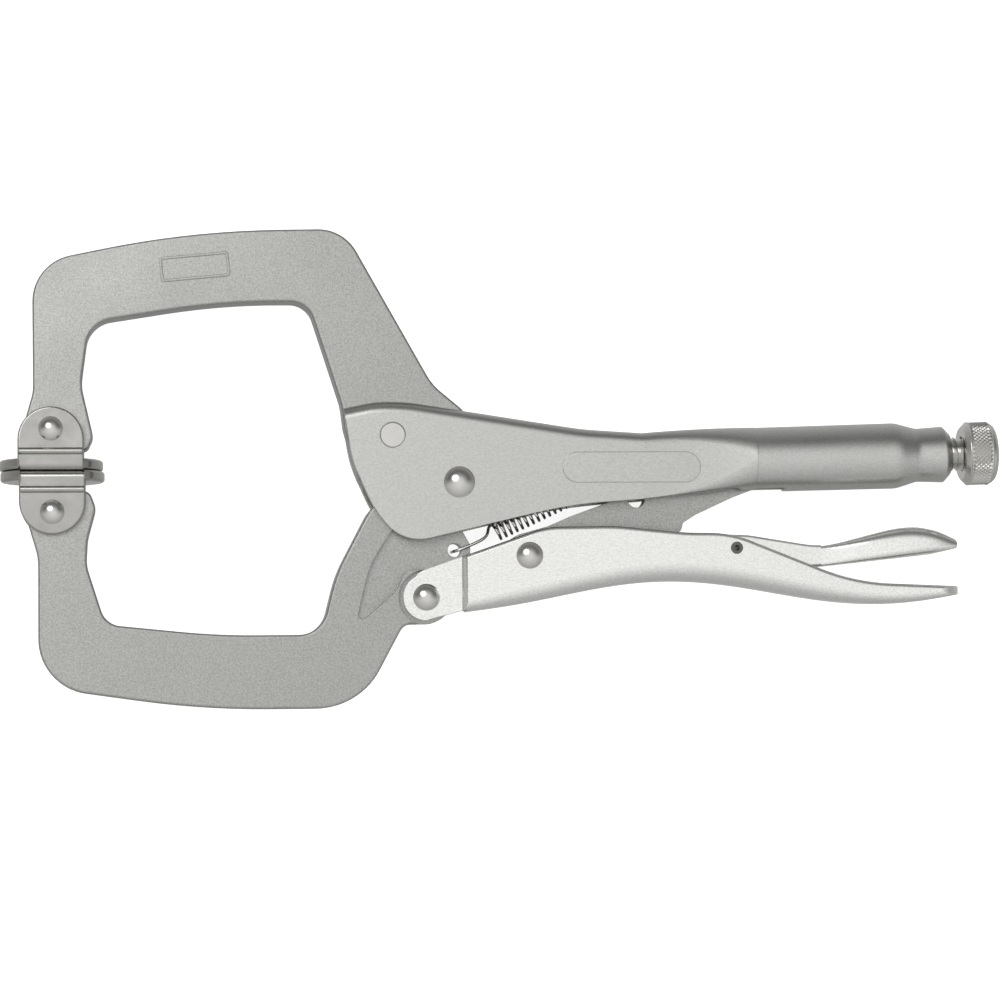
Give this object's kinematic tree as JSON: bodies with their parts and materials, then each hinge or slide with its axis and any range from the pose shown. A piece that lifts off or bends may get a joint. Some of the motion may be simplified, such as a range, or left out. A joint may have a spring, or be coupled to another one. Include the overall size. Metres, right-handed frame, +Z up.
{
  "type": "locking c-clamp pliers",
  "caption": "Over-centre locking C-clamp pliers with deep forged jaws, swivel pads, an adjusting screw in the tubular handle and a release lever.",
  "frame": {"origin": "centre of the bounding box in X and Y, on the ground under the pads' rims", "axes": "+X along the tool from the pads to the adjusting knob, +Y across the jaws towards the fixed jaw, +Z up off the bench through the tool's thickness"},
  "size_m": [0.2796, 0.1327, 0.0226],
  "materials": {
    "pressed_steel": "satin nickel plate over pressed sheet",
    "forged_steel": "satin nickel plate over a fine forged grain",
    "link_steel": "satin nickel plate",
    "pad_steel": "bright nickel plate",
    "rivet_steel": "bright nickel plate",
    "screw_steel": "bright nickel plate, knurled knob",
    "spring_steel": "bright drawn wire"
  },
  "bodies": {
    "upper_handle": {"upper_handle": "pressed_steel", "fixed_jaw": "forged_steel", "fixed_jaw_rivet": "rivet_steel", "jaw_pivot_rivet": "rivet_steel", "tension_spring": "spring_steel"},
    "moving_jaw": {"moving_jaw": "forged_steel"},
    "lower_handle": {"lower_handle": "pressed_steel", "handle_pivot_rivet": "rivet_steel", "link_rivet": "rivet_steel", "release_lever_pin": "rivet_steel"},
    "toggle_link": {"toggle_link": "link_steel"},
    "release_lever": {"release_lever": "pressed_steel"},
    "adjusting_screw": {"adjusting_screw": "screw_steel"},
    "adjusting_knob": {"adjusting_knob": "screw_steel"},
    "upper_pad": {"upper_pad": "pad_steel", "upper_pad_rivet": "rivet_steel"},
    "lower_pad": {"lower_pad": "pad_steel", "lower_pad_rivet": "rivet_steel"}
  },
  "joints": [
    {"name": "jaw_hinge", "type": "hinge", "parent": "upper_handle", "child": "moving_jaw", "pos_m": [-0.0135, -0.0043, 0.01129], "axis": [0, 0, 1], "range_deg": [0, 22], "deforming": ["tension_spring"]},
    {"name": "handle_hinge", "type": "hinge", "parent": "moving_jaw", "child": "lower_handle", "pos_m": [-0.0227, -0.036, 0.01129], "axis": [0, 0, 1], "range_deg": [-75, 2]},
    {"name": "link_hinge", "type": "hinge", "parent": "lower_handle", "child": "toggle_link", "pos_m": [0.0058, -0.0247, 0.01129], "axis": [0, 0, 1], "range_deg": [-2, 76]},
    {"name": "lever_hinge", "type": "hinge", "parent": "lower_handle", "child": "release_lever", "pos_m": [0.0638, -0.0229, 0.01129], "axis": [0, 0, 1], "range_deg": [-3, 2]},
    {"name": "upper_pad_swivel", "type": "hinge", "parent": "upper_handle", "child": "upper_pad", "pos_m": [-0.1255, 0.0107, 0.01129], "axis": [0, 0, 1], "range_deg": [-2, 14]},
    {"name": "lower_pad_swivel", "type": "hinge", "parent": "moving_jaw", "child": "lower_pad", "pos_m": [-0.1251, -0.0121, 0.01129], "axis": [0, 0, 1], "range_deg": [-14, 2]},
    {"name": "screw_slide", "type": "slide", "parent": "upper_handle", "child": "adjusting_screw", "axis": [0.9997, 0.0262, 0], "range_m": [0, 0.02]},
    {"name": "knob_turn", "type": "hinge", "parent": "adjusting_screw", "child": "adjusting_knob", "pos_m": [0.07, 0.00217, 0.01129], "axis": [0.9997, 0.0262, 0], "range_deg": [-10, 4900]}
  ],
  "couplings": [
    {"joint": "handle_hinge", "follows": "jaw_hinge", "ratio": -3.02},
    {"joint": "link_hinge", "follows": "jaw_hinge", "ratio": 3.08},
    {"joint": "upper_pad_swivel", "follows": "jaw_hinge", "ratio": 0.5},
    {"joint": "lower_pad_swivel", "follows": "jaw_hinge", "ratio": -0.5},
    {"joint": "knob_turn", "follows": "screw_slide", "rad_per_m": 4188.8}
  ]
}
